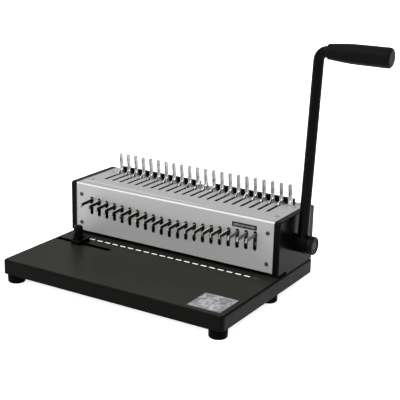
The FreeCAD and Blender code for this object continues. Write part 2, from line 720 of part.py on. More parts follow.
# pan-head cover screws with a cross recess: heads on the outside
def pan(name, axis_rot, head=3.1, high=1.7, shank=1.5, length=4.6):
    """Pan head along local +Z, shank along local -Z, zero at the seat."""
    hd = cyl(name + "_h", "z", head, 0.0, high * 0.45, 0, 0)
    dm = cone(name + "_d", "z", head, head * 0.62, high * 0.45, high, 0, 0)
    sh = cyl(name + "_s", "z", shank, -length, 0.0, 0, 0)
    return cut(name, fuse(name + "_f", hd, dm, sh),
               box(name + "_x", -head * 0.6, head * 0.6, -0.42, 0.42, high * 0.35, high + 1),
               box(name + "_y", -0.42, 0.42, -head * 0.6, head * 0.6, high * 0.35, high + 1))


pm = pan("cover_screw_master", None, 3.0, 1.5)
face_front = FreeCAD.Rotation(V(1, 0, 0), 90)     # local Z towards -Y
face_back = FreeCAD.Rotation(V(1, 0, 0), -90)     # local Z towards +Y
tilt45 = FreeCAD.Rotation(V(0, 0, 1), 38)
spots = []
for sx in (-1, 1):
    for n, z in enumerate((19.2, 64.6)):
        spots.append((Q.of(sx * 162.5), Q.of(0.0), Q.of(z), face_front.multiply(FreeCAD.Rotation(V(0, 0, 1), 25 + 31 * n + 12 * sx))))
    for n, y in enumerate((27.0, 79.6)):
        spots.append((Q.of(sx * 162.0), Q.of(y), p.cover_top, FreeCAD.Rotation(V(0, 0, 1), 15 + 40 * n + 20 * sx)))
spots += [(Q.of(x), p.cover_back, Q.of(76.0), face_back.multiply(FreeCAD.Rotation(V(0, 0, 1), 20 + 17 * n)))
          for n, x in enumerate((-150.0, -50.0, 50.0, 150.0))]
node(group("cover_screws", links("cover_screw", pm, spots)), "cover_screws")

# blank nameplate on the panel and blank maker's foil on the deck
node(block("panel_plate", 105.4, 144.9, -0.45, 0.0, 64.8, 71.8), "panel_plate")
node(block("deck_foil", 122.5, 175.2, -149.2, -98.2, 0.0, 0.18), "deck_foil")

# ================================================================= rear cover
rc = body("rear_cover")
s = sketch(rc, "rear_section", "YZ_Plane", 0.4 - p.cover_half)
yb = p.cover_back - p.cover_sheet
poly(s, [(yb, 0.0), (yb, 79.6), (yb - 1.2, 79.6), (yb - 1.2, 1.2), (yb - 12.0, 1.2), (yb - 12.0, 0.0)])
pad(rc, s, "rear_sheet", (p.cover_half - 0.4) * 2)
s = sketch(rc, "rear_relief", "YZ_Plane", -200.0)
rect(s, yb - 13.0, yb - 1.2, -1.0, 3.0)
pocket(rc, s, "rear_relief_left", 43.0, reverse=True)
s = sketch(rc, "rear_relief2", "YZ_Plane", 157.0)
rect(s, yb - 13.0, yb - 1.2, -1.0, 3.0)
pocket(rc, s, "rear_relief_right", 43.0, reverse=True)
s = sketch(rc, "rear_cover_holes", "XZ_Plane", -p.cover_back - 1.0)
for x in (-150.0, -50.0, 50.0, 150.0):
    ring(s, x, 76.0, 1.55)
pocket(rc, s, "rear_cover_hole_cut", 8.0, reverse=True)
# three pressed slots for the air and the fingers when the cover is taken off
s = sketch(rc, "rear_vent", "XZ_Plane", -p.cover_back - 1.0)
stadium(s, -24.0, 30.0, 54.0, 2.0)
f = pocket(rc, s, "rear_vent_cut", 8.0, reverse=True)
row(rc, f, s, "rear_vents", 5, 48.0)

# ================================================================= tines
# Each tine stands upright in the cover and leans a little forward above it.
tine = doc.addObject("PartDesign::Body", "tine_master")
s = sketch(tine, "tine_side", "YZ_Plane", -p.tine_foot / 2)
w, wf, zt, yt = p.tine_wide / 2, p.tine_foot / 2, p.tine_top, p.tine_front
yb_, ln = p.tine_front + p.tine_thick, p.tine_lean
poly(s, [(yt, 70.0), (yb_, 70.0), (yb_, T + 0.4), (yb_ - ln, zt), (yt - ln, zt), (yt, T + 0.4)])
pad(tine, s, "tine_plate", p.tine_foot)
s = sketch(tine, "tine_sides_plan", "XZ_Plane", -90.0)
for sx in (-1, 1):
    poly(s, [(sx * wf, T + 1.2), (sx * w, T + 9.5), (sx * w, zt - 2.6), (sx * (w - 0.75), zt - 0.9), (sx * (w - 1.75), zt),
             (sx * (w - 1.75), zt + 2.0), (sx * (wf + 2.0), zt + 2.0), (sx * (wf + 2.0), T + 1.2)])
pocket(tine, s, "tine_sides", 20.0, reverse=True)
s = sketch(tine, "tine_groove_side", "YZ_Plane", -0.9)
g0, g1 = 6.0, 30.0
k0, k1 = ln * ((g0 - 0.4) / (zt.v - T.v - 0.4)), ln * ((g1 - 0.4) / (zt.v - T.v - 0.4))
poly(s, [(yt - k0 - 1.0, T + g0), (yt - k0 + 0.1, T + g0), (yt - k0 + 0.75, T + g0 + 1.6), (yt - k1 + 0.75, T + g1 - 1.2),
         (yt - k1 + 0.1, T + g1), (yt - k1 - 1.0, T + g1)])
pocket(tine, s, "tine_groove", 1.8, reverse=True)
node(group("tines", links("tine", tine, [((j - 10.5) * p.pitch + p.tine_shift, Q.of(0.0), Q.of(0.0)) for j in range(22)])), "tines")

# L-shaped carrier under the cover: the tines are riveted to its front
tf = p.tine_front + p.tine_thick
node(cut("tine_carrier", fuse("tine_carrier_b", box("tcv", -160.0, 160.4, tf, tf + 2.0, 70.0, T - ct),
                              box("tch", -160.0, 160.4, tf + 2.0, tf + 14.0, T - ct - 2.0, T - ct)),
         *[cyl("tcs%d" % n, "z", 1.9, 70.0, 90.0, x, p.bar_front + p.bar_deep / 2)
           for n, x in enumerate((-120.0, -34.0, 52.0, 130.0))]), "tine_carrier")

# comb spine stop bars, left and right of the middle bracket
def stop_bar(label, x0, x1, holes):
    b = cut(label, box(label + "_b", x0, x1, p.bar_front, p.bar_front + p.bar_deep, T, T + p.bar_high),
            *[cyl(label + "_h%d" % n, "z", 1.5, T - 1.0, T + 7.0, x, p.bar_front + p.bar_deep / 2) for n, x in enumerate(holes)])
    return node(b, label)


stop_bar("stop_bar_left", -149.0, -3.0, (-120.0, -34.0))
stop_bar("stop_bar_right", 21.0, 157.6, (52.0, 130.0))
sbs = fuse("stop_screw_master", cyl("ssh", "z", 3.0, -5.0, -3.2, 0, 0), cyl("sss", "z", 1.45, -3.2, 5.5, 0, 0))
node(group("stop_bar_screws", links("stop_screw", sbs, [(Q.of(x), p.bar_front + p.bar_deep / 2, p.cover_top)
                                                        for x in (-120.0, -34.0, 52.0, 130.0)])), "stop_bar_screws")
# small bright bracket in the gap between the bars
mb = body("middle_bracket")
s = sketch(mb, "bracket_section", "YZ_Plane", 5.2)
bf = p.bar_front
poly(s, [(bf - 2.6, T), (bf + 4.6, T), (bf + 4.6, T + 1.2), (bf - 1.4, T + 1.2), (bf - 1.4, T + 6.9), (bf - 2.6, T + 6.9)])
pad(mb, s, "bracket_fold", 8.8)
round_edges(mb, "bracket_corners", 1.4,
            lambda e: all(near(v.z, T.v + 6.9) for v in ends(e)) and len(e.Vertexes) == 2 and near(ends(e)[0].x, ends(e)[1].x))

# ================================================================= shaft group
ay, az = p.axis_y, p.axis_z
shaft = fuse("main_shaft", cyl("shaft_rod", "x", p.shaft_rad, -176.5, p.hub_out - 0.6, ay, az))
sh = doc.addObject("Part::Compound", "main_shaft_c")
sh.Links = [cut("shaft_groove_cut", shaft, cut("shaft_groove", cyl("sg1", "x", 7.0, -175.4, -174.2, ay, az),
                                              cyl("sg2", "x", 5.2, -176.0, -173.0, ay, az)))]
node(sh, "main_shaft")
# retaining ring in the groove
node(cut("retaining_ring", cyl("rr1", "x", 9.0, -175.35, -174.25, ay, az), cyl("rr2", "x", 5.25, -176.0, -173.0, ay, az),
         box("rr3", -176.0, -173.0, ay - 3.0, ay + 3.0, az - 10.0, az)), "retaining_ring")

import math
ct_, st_ = math.cos(math.radians(p.crank_turn.v)), math.sin(math.radians(p.crank_turn.v))
COS, SIN = Q("cos(Params.crank_turn)", ct_), Q("sin(Params.crank_turn)", st_)

# bell cranks: one arm forward for the punches, one arm up for the top hooks
def arm_plate(name, x0, x1, length, turn, half):
    b = doc.addObject("Part::Box", name)
    x0, x1 = Q.of(x0), Q.of(x1)
    bind(b, "Length", x1 - x0)
    bind(b, "Width", length)
    bind(b, "Height", Q.of(half) * 2)
    # the box runs along local Y from the shaft axis, centred on its height
    rot = FreeCAD.Rotation(V(1, 0, 0), turn)
    base = V(x0.v, ay.v, az.v) + rot.multVec(V(0, 0, -half))
    b.Placement = FreeCAD.Placement(base, rot)
    return b


def bell_crank(label, side):
    x0, x1 = (152.0, 156.0) if side > 0 else (-156.0, -152.0)
    fy, fz = ay - p.punch_throw * COS, az + p.punch_throw * SIN
    ty, tz = ay + p.top_throw * SIN, az + p.top_throw * COS
    base = fuse(label + "_b", cyl(label + "_hub", "x", 10.5, x0, x1, ay, az),
                arm_plate(label + "_af", x0, x1, p.punch_throw, 180.0 - p.crank_turn.v, 4.2),
                cyl(label + "_ef", "x", 4.4, x0, x1, fy, fz),
                arm_plate(label + "_at", x0, x1, p.top_throw, 90.0 - p.crank_turn.v, 4.2),
                cyl(label + "_et", "x", 4.4, x0, x1, ty, tz))
    return node(cut(label, base, cyl(label + "_h", "x", p.shaft_rad + 0.01, x0 - 1, x1 + 1, ay, az),
                    cyl(label + "_pf", "x", p.pin_rad, x0 - 1, x1 + 1, fy, fz),
                    cyl(label + "_pt", "x", p.pin_rad, x0 - 1, x1 + 1, ty, tz)), label)


bell_crank("bell_crank_left", -1)
bell_crank("bell_crank_right", 1)
pins = []
for side in (-1, 1):
    a, b_ = (147.9, 156.0) if side > 0 else (-156.0, -147.9)
    pins.append(cyl("cpf%d" % side, "x", p.pin_rad, a, b_, ay - p.punch_throw * COS, az + p.punch_throw * SIN))
    pins.append(cyl("cpt%d" % side, "x", p.pin_rad, a, b_, ay + p.top_throw * SIN, az + p.top_throw * COS))
node(group("crank_pins", pins), "crank_pins")

# spring collar and torsion spring
node(cut("spring_collar", cyl("sc1", "x", 11.5, 134.0, 141.0, ay, az), cyl("sc2", "x", p.shaft_rad + 0.01, 133.0, 142.0, ay, az),
         cyl("sc3", "z", 1.5, az + 5.0, az + 14.0, 137.5, ay)), "spring_collar")
helix = doc.addObject("Part::Helix", "spring_line")
helix.Pitch = 2.3
helix.Height = 16.1
helix.Radius = 9.2
helix.Placement = FreeCAD.Placement(V(112.0, ay.v, az.v), ALONG["x"])
wire = doc.addObject("Part::Circle", "spring_wire")
wire.Radius = 0.85
# the wire section stands at the start of the helix, square to its first turn
sw = doc.addObject("Part::Sweep", "return_spring_coil")
sw.Sections = [wire]
sw.Spine = (helix, ["Edge1"])
sw.Solid = True
sw.Frenet = True
wire.Placement = FreeCAD.Placement(V(112.0, ay.v, az.v) + ALONG["x"].multVec(V(9.2, 0, 0)),
                                   ALONG["x"].multiply(FreeCAD.Rotation(V(1, 0, 0), -90)))
node(group("return_spring", [sw]), "return_spring")

# lever rest pins, one at each side, on the frames
stops = []
for side in (-1, 1):
    a, b_ = (152.4, p.cover_half - 3.0) if side > 0 else (3.0 - p.cover_half, -152.4)
    stops.append(cyl("lrp%d" % side, "x", 3.0, a, b_, ay + 16.0 * SIN + 7.6 * COS, az + 16.0 * COS - 7.6 * SIN))
node(group("rest_pins", stops), "rest_pins")

# ================================================================= lever
def on_axis(obj):
    """Lever pieces are built upright about the shaft axis and lean back at rest."""
    obj.Placement = FreeCAD.Placement(V(0, 0, 0), FreeCAD.Rotation(V(1, 0, 0), -p.lean.v))
    place(obj, 0.0, ay, az)


hub = body("lever_hub", shift=False)
s = sketch(hub, "hub_profile", "XZ_Plane")
hr = p.hub_rad
poly(s, [(p.hub_in, p.shaft_rad + 0.01), (p.hub_in, hr - 1.2), (p.hub_in + 1.2, hr), (p.hub_out - 3.6, hr), (p.hub_out - 3.2, hr - 0.7),
         (p.hub_out - 2.6, hr - 0.7), (p.hub_out - 2.2, hr), (p.hub_out, hr), (p.hub_out, p.shaft_rad + 0.01)])
revolve(hub, s, "hub_turn", "H_Axis")
s = sketch(hub, "arm_socket", "XY_Plane", 20.0)
ring(s, p.arm_x, 0.0, p.arm_rad + 0.02)
pocket(hub, s, "arm_socket_cut", 13.3)
s = sketch(hub, "grub_hole", "XZ_Plane", 0.0)
ring(s, 199.0, 0.0, 2.6)
pocket(hub, s, "grub_hole_cut", 20.0)
on_axis(hub)

grub = cut("grub_screw", cyl("gs1", "y", 2.55, 6.3, 12.3, 199.0, 0.0), cyl("gs2", "y", 1.3, 9.5, 13.0, 199.0, 0.0))
on_axis(grub)
node(grub, "grub_screw", shift=False)

arm = body("lever_arm", shift=False)
s1 = sketch(arm, "arm_path", "XZ_Plane")
L, B, ax_ = p.grip_high, p.arm_bend, p.arm_x
s1.addGeometry(Part.LineSegment(V(ax_.v, 6.75, 0), V(ax_.v, (L - B).v, 0)), False)
s1.addGeometry(Part.ArcOfCircle(Part.Circle(V((ax_ + B).v, (L - B).v, 0), V(0, 0, 1), B.v), math.pi / 2, math.pi), False)
s1.addGeometry(Part.LineSegment(V((ax_ + B).v, L.v, 0), V(288.0, L.v, 0)), False)
s1.addConstraint(Sketcher.Constraint("Tangent", 0, 2, 1, 2))
s1.addConstraint(Sketcher.Constraint("Tangent", 1, 1, 2, 1))
at(s1, 0, 1, ax_, 6.75)
at(s1, 2, 2, 288.0, L)
s1.addConstraint(Sketcher.Constraint("Vertical", 0))
s1.addConstraint(Sketcher.Constraint("Horizontal", 2))
k = s1.addConstraint(Sketcher.Constraint("Radius", 1, B.v))
s1.renameConstraint(k, "bend")
bind(s1, "Constraints.bend", B)
s2 = sketch(arm, "arm_section", "XY_Plane", 6.75)
ring(s2, ax_, 0.0, p.arm_rad - 0.02)
ring(s2, ax_, 0.0, p.arm_rad - p.arm_wall)
pipe = arm.newObject("PartDesign::AdditivePipe", "arm_tube")
pipe.Profile = s2
pipe.Spine = (s1, ["Edge1", "Edge2", "Edge3"])
pipe.Mode = "Standard"
arm.Tip = pipe
on_axis(arm)

# grip: foam sleeve over the end of the tube, closed and rounded at its outer end
grip = body("lever_grip", shift=False)
s = sketch(grip, "grip_profile", "XZ_Plane")
gi, ge = p.grip_in, p.grip_end
poly(s, [(gi, p.arm_rad), (gi, 10.1), (gi + 0.9, 10.9), (gi + 8.0, 11.5), (gi + 17.0, 12.4), (gi + 27.0, 13.2), (gi + 36.0, 13.7),
         (gi + 50.0, 13.9), (ge - 4.0, 14.05), (ge - 2.2, 13.55), (ge - 0.8, 12.25), (ge, 10.0), (ge, 0.0), (288.4, 0.0), (288.4, p.arm_rad)])
f = revolve(grip, s, "grip_turn", "H_Axis")
grip.Placement = FreeCAD.Placement(V(0, 0, 0), FreeCAD.Rotation(V(1, 0, 0), -p.lean.v))
LS, LC = Q("sin(Params.lean)", math.sin(math.radians(p.lean.v))), Q("cos(Params.lean)", math.cos(math.radians(p.lean.v)))
place(grip, 0.0, ay + L * LS, az + L * LC)

# hub cap with a shallow dish and its screw
hc = body("hub_cap", shift=False)
s = sketch(hc, "hub_cap_profile", "XZ_Plane")
o = p.hub_cap
poly(s, [(p.hub_out, 2.6), (p.hub_out, hr + 0.2), (o - 1.4, hr + 0.2), (o - 0.4, hr - 0.5), (o, hr - 1.5), (o - 0.9, hr - 3.2),
         (o - 1.2, 6.0), (o - 1.2, 4.6), (o - 3.2, 4.6), (o - 3.2, 2.6)])
revolve(hc, s, "hub_cap_turn", "H_Axis")
on_axis(hc)
hs = cut("hub_cap_screw", fuse("hub_cap_screw_f", cyl("hcs1", "x", 4.3, p.hub_cap - 3.2, p.hub_cap - 1.0, 0, 0),
                               cyl("hcs2", "x", 2.5, p.hub_out - 0.5, p.hub_cap - 3.2, 0, 0)),
         cyl("hcs3", "x", 2.1, p.hub_cap - 2.2, p.hub_cap, 0, 0))
on_axis(hs)
node(hs, "hub_cap_screw", shift=False)

# ================================================================= die and punch
def slots21(name, half_x, half_y, z0, z1):
    m = box(name + "_m", -Q.of(half_x), half_x, p.punch_y - half_y, p.punch_y + half_y, z0, z1)
    return links(name, m, [((i - 10) * p.pitch + p.row_shift, Q.of(0.0), Q.of(0.0)) for i in range(21)])


hx, hy = p.punch_long / 2 + p.punch_gap, p.punch_thick / 2 + p.punch_gap
POSTS = (-6.5 * p.pitch + p.row_shift, 6.5 * p.pitch + p.row_shift)
die = cut("die_plate", fuse("die_b", box("die_up", -164.0, 164.0, 4.0, 26.0, -p.tray_sheet, 0.0),
                            box("die_dn", -168.0, 168.0, 1.5, 28.5, p.die_low, -p.tray_sheet)),
          *(slots21("die_slot", hx, hy, -12.0, 1.0)
            + [cyl("die_sc%d" % n, "z", 1.7, -10.0, 1.0, sx * 158.0, 23.0) for n, sx in enumerate((-1, 1))]))
node(die, "die_plate")
# paper stop behind the punch row; it also spaces the stripper from the die
node(cut("paper_stop", box("ps_b", -164.0, 164.0, 20.5, 26.0, 0.0, p.strip_low),
         *[cyl("ps_h%d" % n, "z", 1.7, -1.0, 8.0, sx * 158.0, 23.0) for n, sx in enumerate((-1, 1))]), "paper_stop")
strip = cut("stripper_plate", box("st_b", -164.0, 164.0, 4.0, 26.0, p.strip_low, p.strip_top),
            *(slots21("st_slot", hx, hy, 0.0, 20.0)
              + [cyl("st_post%d" % n, "z", 2.0, 0.0, 20.0, x, p.punch_y) for n, x in enumerate(POSTS)]
              + [cyl("st_sc%d" % n, "z", 1.7, 0.0, 20.0, sx * 158.0, 23.0) for n, sx in enumerate((-1, 1))]))
node(strip, "stripper_plate")
ssm = fuse("die_screw_master", cyl("dish", "z", 3.0, p.strip_top, p.strip_top + 1.7, 0, 0), cyl("diss", "z", 1.65, p.die_low + 0.5, p.strip_top, 0, 0))
node(group("die_screws", links("die_screw", ssm, [(Q.of(sx * 158.0), Q.of(23.0), Q.of(0.0)) for sx in (-1, 1)])), "die_screws")
# guide posts, pressed into the stripper so that the paper throat stays clear
node(group("guide_posts", [cyl("gp%d" % n, "z", 2.0, p.strip_low, 49.0, x, p.punch_y) for n, x in enumerate(POSTS)]), "guide_posts")

# punch bar: its underside steps up from the middle to both ends, one step for
# each pin, so that the pins stand in the same vee as their tabs
bl, bt = p.bar_low, p.bar_top
steps = [box("pb_s%d" % k, p.row_shift - (k + 0.5) * p.pitch, p.row_shift + (k + 0.5) * p.pitch, 8.0, 20.5, bl + p.vee * (k / 10.0), bt)
         for k in range(11)]
steps.append(box("pb_ends", -157.0, 157.0, 8.0, 20.5, bl + p.vee, bt))
node(cut("punch_bar", fuse("pb_b", *steps),
         *[cyl("pb_h%d" % n, "z", 2.06, 20.0, 60.0, x, p.punch_y) for n, x in enumerate(POSTS)]), "punch_bar")
# punch pins, hollow ground at their tips
pu = cut("punch_master", box("pu_b", -p.punch_long / 2, p.punch_long / 2, p.punch_y - p.punch_thick / 2, p.punch_y + p.punch_thick / 2, p.punch_low, bl),
         cyl("pu_n", "y", 9.0, 10.0, 20.0, 0.0, p.punch_low - 8.3))
node(group("punches", links("punch", pu, [((i - 10) * p.pitch + p.row_shift, Q.of(0.0), p.vee * (abs(i - 10) / 10.0)) for i in range(21)])), "punches")

# ================================================================= pull tabs
# One flat tab for each punch pin comes out through its slot: a finger plate with
# a turned-down nose.  They stand on a cross bar that slides up and down.
tb = doc.addObject("PartDesign::Body", "pin_tab_master")
s = sketch(tb, "pin_tab_outline", "YZ_Plane", -p.tab_thick / 2)
r_, hi = -p.tab_reach, p.tab_top
poly(s, [(4.0, hi + 0.9), (-5.0, hi + 0.9), (r_ + 2.6, hi), (r_ + 1.5, hi - 0.8), (r_ + 1.3, hi - 3.8), (r_, hi - 5.0), (r_ + 0.5, hi - 6.0),
         (r_ + 2.8, hi - 6.0), (r_ + 4.4, hi - 4.9), (r_ + 8.0, hi - 4.6), (4.0, hi - 4.2)])
pad(tb, s, "pin_tab_plate", p.tab_thick)
node(group("pin_tabs", links("pin_tab", tb, [((i - 10) * p.pitch, Q.of(0.0), p.vee * (abs(i - 10) / 10.0)) for i in range(21)])), "pin_tabs")

fb = box("tab_bar_b", -164.5, 164.5, 4.0, 8.0, 46.0, 61.2)
node(group("tab_bar", [fb]), "tab_bar")

def drive_ear(n, side):
    x0, x1 = (148.3, 151.3) if side > 0 else (-151.3, -148.3)
    zc = az + p.punch_throw * SIN
    yc0, yc1 = ay - p.punch_throw, ay - p.punch_throw * COS
    neck = box("fe_n%d" % n, x0, x1, 8.0, 33.0, p.bar_top, 57.0)
    head = box("fe_h%d" % n, x0, x1, 28.8, 42.7, zc - 5.4, 57.0)
    slot = box("fe_s%d" % n, x0 - 1, x1 + 1, yc0 - p.pin_rad - 0.45, yc1 + p.pin_rad + 0.45, zc - p.pin_rad - 0.6, zc + p.pin_rad + 0.6)
    return cut("fe_%d" % n, fuse("fe_f%d" % n, neck, head), slot)


node(group("drive_ears", [drive_ear(0, -1), drive_ear(1, 1)]), "drive_ears")

def bar_guide(n, side):
    x0, x1 = (161.6, 169.3) if side > 0 else (-169.3, -161.6)
    g0, g1 = (161.0, 165.0) if side > 0 else (-165.0, -161.0)
    return cut("fg_%d" % n, box("fg_b%d" % n, x0, x1, 3.2, 10.5, 24.0, 60.2), box("fg_g%d" % n, g0, g1, 3.65, 8.35, 23.0, 62.0))


node(group("bar_guides", [bar_guide(0, -1), bar_guide(1, 1)]), "bar_guides")

# ================================================================= top hooks
th = doc.addObject("PartDesign::Body", "top_hook_master")
s = sketch(th, "top_hook_outline", "YZ_Plane", -p.top_hook_thick / 2)
poly(s, [(73.6, 74.0), (78.4, 74.0), (78.4, 83.4), (80.6, 86.4), (80.9, 87.6), (80.2, 88.4), (78.6, 88.0), (75.6, 85.8), (73.6, 83.4)])
pad(th, s, "top_hook_plate", p.top_hook_thick)
node(group("top_hooks", links("top_hook", th, [((i - 10) * p.pitch + p.row_shift, Q.of(0.0), Q.of(0.0)) for i in range(21)])), "top_hooks")

car = box("carriage_b", -164.5, 164.5, 60.0, 80.0, 71.5, 74.0)
wins = links("carriage_win", box("carriage_w", -10.0, 10.0, 63.5, 70.0, 70.0, 76.0),
             [(Q.of(-120.0 + 40.0 * n), Q.of(0.0), Q.of(0.0)) for n in range(7)])
node(cut("hook_carriage", car, *wins), "hook_carriage")

def fork(n, side):
    x0, x1 = (148.3, 151.3) if side > 0 else (-151.3, -148.3)
    yc = ay + p.top_throw * SIN
    z0, z1 = az + p.top_throw * COS, az + p.top_throw
    return cut("fk_%d" % n, box("fk_b%d" % n, x0, x1, yc - 6.2, yc + 6.2, 58.0, 71.5),
               box("fk_s%d" % n, x0 - 1, x1 + 1, yc - p.pin_rad - 0.75, yc + p.pin_rad + 0.75, 57.0, z1 + p.pin_rad + 0.5))


node(group("carriage_forks", [fork(0, -1), fork(1, 1)]), "carriage_forks")

def rail(n, side):
    x0, x1 = (161.6, 169.3) if side > 0 else (-169.3, -161.6)
    g0, g1 = (161.0, 165.0) if side > 0 else (-165.0, -161.0)
    return cut("rl_%d" % n, box("rl_b%d" % n, x0, x1, 26.0, 81.5, 68.6, 76.6), box("rl_g%d" % n, g0, g1, 25.0, 83.0, 71.2, 74.3))


node(group("carriage_rails", [rail(0, -1), rail(1, 1)]), "carriage_rails")

# ================================================================= chip tray
cf, cb = p.chip_front, p.chip_back
cd = 1.3 - p.tray_left
chip = cut("chip_tray", fuse("chip_b", box("chip_body", cd, 160.0, cf, cb, -20.2, -12.6),
                             box("chip_door_b", -p.tray_left, cd, cf - 1.0, cb + 1.0, -20.2, -12.3)),
           box("chip_in", cd + 1.4, 158.8, cf + 1.2, cb - 1.2, -19.0, -5.0),
           cyl("chip_pull", "x", 6.5, cd - 8.0, cd + 0.3, (cf + cb) / 2, -10.4))
node(chip, "chip_tray")

# ================================================================= checks, output
doc.recompute()
bad = []
for o in doc.Objects:
    if "Invalid" in o.State or "Error" in o.State:
        bad.append((o.Name, o.State))
for b, f in CUTS:
    base = f.BaseFeature.Shape.Volume if f.BaseFeature is not None else 0.0
    if f.Shape.Volume > base - 1e-3:
        bad.append((f.Name, "cuts nothing", base, f.Shape.Volume))
for label, o in SUB:
    sh = o.Shape
    if sh.isNull() or not sh.isValid() or len(sh.Solids) < 1:
        bad.append((label, "shape"))
names = [n for n, _ in SUB]
if len(set(names)) != len(names):
    bad.append(("labels", "repeat"))
if bad:
    raise RuntimeError("not built: %s" % bad)
if len(SUB) > 60:
    raise RuntimeError("too many files: %d" % len(SUB))
os.makedirs("parts", exist_ok=True)
lo, hi = [1e9] * 3, [-1e9] * 3
for label, o in SUB:
    bb = o.Shape.BoundBox
    lo = [min(a, b) for a, b in zip(lo, (bb.XMin, bb.YMin, bb.ZMin))]
    hi = [max(a, b) for a, b in zip(hi, (bb.XMax, bb.YMax, bb.ZMax))]
    o.Shape.exportStep("parts/%s.step" % label)
    print("%-20s solids %2d  volume %9.1f" % (label, len(o.Shape.Solids), o.Shape.Volume))
print("box", [round(v, 3) for v in lo], [round(v, 3) for v in hi], "nodes", len(SUB))
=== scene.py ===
"""Looks for the comb binding machine: procedural materials, small trim that
only shows, studio light and the camera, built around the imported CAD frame."""

import json
import math

import bmesh
import bpy
from mathutils import Matrix, Vector

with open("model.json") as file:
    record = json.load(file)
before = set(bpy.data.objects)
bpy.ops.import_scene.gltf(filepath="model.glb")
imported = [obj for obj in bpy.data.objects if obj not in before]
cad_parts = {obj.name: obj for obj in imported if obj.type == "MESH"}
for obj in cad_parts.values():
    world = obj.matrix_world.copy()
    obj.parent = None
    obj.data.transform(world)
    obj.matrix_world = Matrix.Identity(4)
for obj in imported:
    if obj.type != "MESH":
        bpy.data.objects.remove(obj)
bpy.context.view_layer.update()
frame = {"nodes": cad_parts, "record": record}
NODES = frame["nodes"]

MM = 0.001
# the machine's working axes (middle of the front slot row, panel face, deck top)
ORG = Vector((-55.45, 23.5, 35.2))


def W(x, y, z):
    """Working millimetres to the row frame in metres."""
    return (Vector((x, y, z)) + ORG) * MM


PITCH = 14.2875
TOP = 82.0          # cover top above the deck
SILVER = 0.335      # base reflectance of the satin lacquer


# ------------------------------------------------------------------ node help
class Graph:
    """Small helper that builds one material's node tree."""

    def __init__(self, name):
        self.mat = bpy.data.materials.new(name)
        self.mat.use_nodes = True
        self.t = self.mat.node_tree
        self.t.nodes.clear()
        self.out = self.t.nodes.new("ShaderNodeOutputMaterial")
        self.bsdf = self.t.nodes.new("ShaderNodeBsdfPrincipled")
        self.t.links.new(self.bsdf.outputs[0], self.out.inputs[0])
        self.co = self.t.nodes.new("ShaderNodeTexCoord").outputs["Object"]

    def n(self, kind, **kw):
        node = self.t.nodes.new(kind)
        for k, v in kw.items():
            setattr(node, k, v)
        return node

    def link(self, a, b):
        self.t.links.new(a, b)

    def set(self, **kw):
        for k, v in kw.items():
            self.bsdf.inputs[k.replace("_", " ")].default_value = v

    def scaled(self, sx, sy, sz):
        m = self.n("ShaderNodeMapping")
        m.inputs["Scale"].default_value = (sx, sy, sz)
        self.link(self.co, m.inputs["Vector"])
        return m.outputs[0]

    def noise(self, scale, detail=4.0, rough=0.5, vec=None, distortion=0.0):
        t = self.n("ShaderNodeTexNoise")
        t.inputs["Scale"].default_value = scale
        t.inputs["Detail"].default_value = detail
        t.inputs["Roughness"].default_value = rough
        t.inputs["Distortion"].default_value = distortion
        self.link(vec or self.co, t.inputs["Vector"])
        return t.outputs["Fac"]

    def voronoi(self, scale, vec=None, feature="F1"):
        t = self.n("ShaderNodeTexVoronoi", feature=feature)
        t.inputs["Scale"].default_value = scale
        self.link(vec or self.co, t.inputs["Vector"])
        return t.outputs["Distance"]

    def ramp(self, fac, lo, hi, a=0.0, b=1.0):
        """fac from lo..hi to a..b, clamped."""
        m = self.n("ShaderNodeMapRange")
        m.clamp = True
        for k, v in (("From Min", lo), ("From Max", hi), ("To Min", a), ("To Max", b)):
            m.inputs[k].default_value = v
        self.link(fac, m.inputs["Value"])
        return m.outputs[0]

    def math(self, op, a, b=None):
        m = self.n("ShaderNodeMath", operation=op)
        for i, v in enumerate((a, b)):
            if v is None:
                continue
            if isinstance(v, (int, float)):
                m.inputs[i].default_value = v
            else:
                self.link(v, m.inputs[i])
        return m.outputs[0]

    def mix(self, fac, a, b):
        """Colours a..b by fac. a and b are tuples or sockets."""
        m = self.n("ShaderNodeMix", data_type="RGBA")
        if isinstance(fac, (int, float)):
            m.inputs["Factor"].default_value = fac
        else:
            self.link(fac, m.inputs["Factor"])
        for k, v in ((6, a), (7, b)):
            if isinstance(v, tuple):
                m.inputs[k].default_value = v if len(v) == 4 else (*v, 1.0)
            else:
                self.link(v, m.inputs[k])
        return m.outputs[2]

    def normal_axis(self, axis):
        """Absolute component of the surface normal along x, y or z."""
        g = self.n("ShaderNodeNewGeometry")
        s = self.n("ShaderNodeSeparateXYZ")
        self.link(g.outputs["Normal"], s.inputs[0])
        return self.math("ABSOLUTE", s.outputs["XYZ".index(axis.upper())])

    def normal_up(self, axis):
        """Signed component of the surface normal along x, y or z."""
        g = self.n("ShaderNodeNewGeometry")
        s = self.n("ShaderNodeSeparateXYZ")
        self.link(g.outputs["Normal"], s.inputs[0])
        return s.outputs["XYZ".index(axis.upper())]

    def pos(self, axis):
        s = self.n("ShaderNodeSeparateXYZ")
        self.link(self.co, s.inputs[0])
        return s.outputs["XYZ".index(axis.upper())]

    def edge(self, lo=0.52, hi=0.62):
        """1 on convex edges of the mesh, from pointiness."""
        g = self.n("ShaderNodeNewGeometry")
        return self.ramp(g.outputs["Pointiness"], lo, hi)

    def bump(self, height, strength, dist):
        b = self.n("ShaderNodeBump")
        b.inputs["Strength"].default_value = strength
        b.inputs["Distance"].default_value = dist
        self.link(height, b.inputs["Height"])
        if self.bsdf.inputs["Normal"].is_linked:
            self.link(self.bsdf.inputs["Normal"].links[0].from_socket, b.inputs["Normal"])
        self.link(b.outputs[0], self.bsdf.inputs["Normal"])
        return b

    def colour(self, s):
        self.link(s, self.bsdf.inputs["Base Color"])

    def rough(self, s):
        self.link(s, self.bsdf.inputs["Roughness"])


def grey(v, r=1.0, g=1.0, b=1.0):
    return (v * r, v * g, v * b, 1.0)


